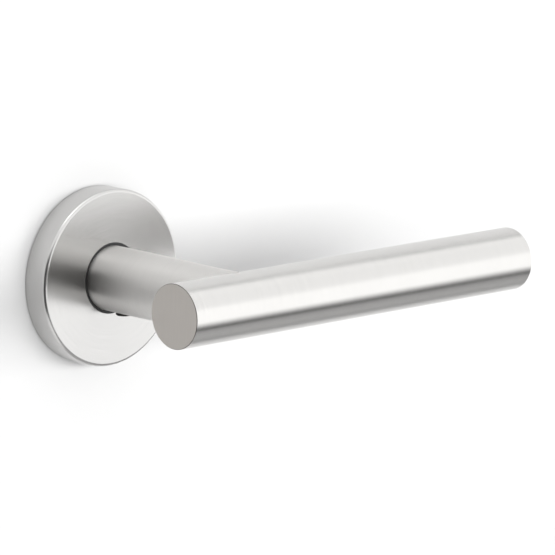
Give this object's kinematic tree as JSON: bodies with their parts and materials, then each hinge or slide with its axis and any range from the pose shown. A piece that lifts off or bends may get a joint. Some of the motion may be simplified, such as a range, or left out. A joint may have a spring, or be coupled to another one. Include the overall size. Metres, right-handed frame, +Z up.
{
  "type": "door lever handle",
  "caption": "T-bar door lever of round satin steel tube on a sprung round rose, with square spindle, set screw, push-on cover and through-door fixing screws.",
  "frame": {"origin": "centre of the rose's back face, on the spindle's axis", "axes": "+Z up, +X along the grip towards its free end, +Y into the door along the spindle"},
  "size_m": [0.1405, 0.1215, 0.053],
  "materials": {
    "satin_steel": "satin, brushed round the tubes",
    "turned_steel": "turned",
    "zinc_plated_steel": "bright zinc plating",
    "blackened_steel": "black oxide",
    "spring_steel": "oiled wire",
    "cast_zinc": "as cast, dull grey",
    "white_nylon": "natural nylon",
    "black_nylon": "black nylon"
  },
  "bodies": {
    "base": {"base_plate": "cast_zinc", "bearing_bush": "white_nylon", "return_spring": "spring_steel", "fixing_screws": "zinc_plated_steel", "wood_screws": "zinc_plated_steel", "cover_snap_ring": "spring_steel"},
    "lever": {"grip_tube": "satin_steel", "neck_tube": "satin_steel", "near_end_cap": "satin_steel", "far_end_cap": "satin_steel", "spindle_hub": "turned_steel", "spindle": "zinc_plated_steel", "set_screw": "blackened_steel", "driver_plate": "zinc_plated_steel", "circlip": "blackened_steel", "disc_spring": "spring_steel", "thrust_washer": "turned_steel"},
    "cover": {"rose_cover": "satin_steel", "neck_guide_ring": "black_nylon"}
  },
  "joints": [
    {"name": "lever_turn", "type": "hinge", "parent": "base", "child": "lever", "pos_m": [0, 0, 0], "axis": [0, 1, 0], "range_deg": [0, 40], "stiffness_Nm_per_rad": 0.25, "springref_deg": -114.59, "deforming": ["return_spring"]},
    {"name": "cover_slide", "type": "slide", "parent": "base", "child": "cover", "axis": [0, -1, 0], "range_m": [0, 0.0028]}
  ]
}
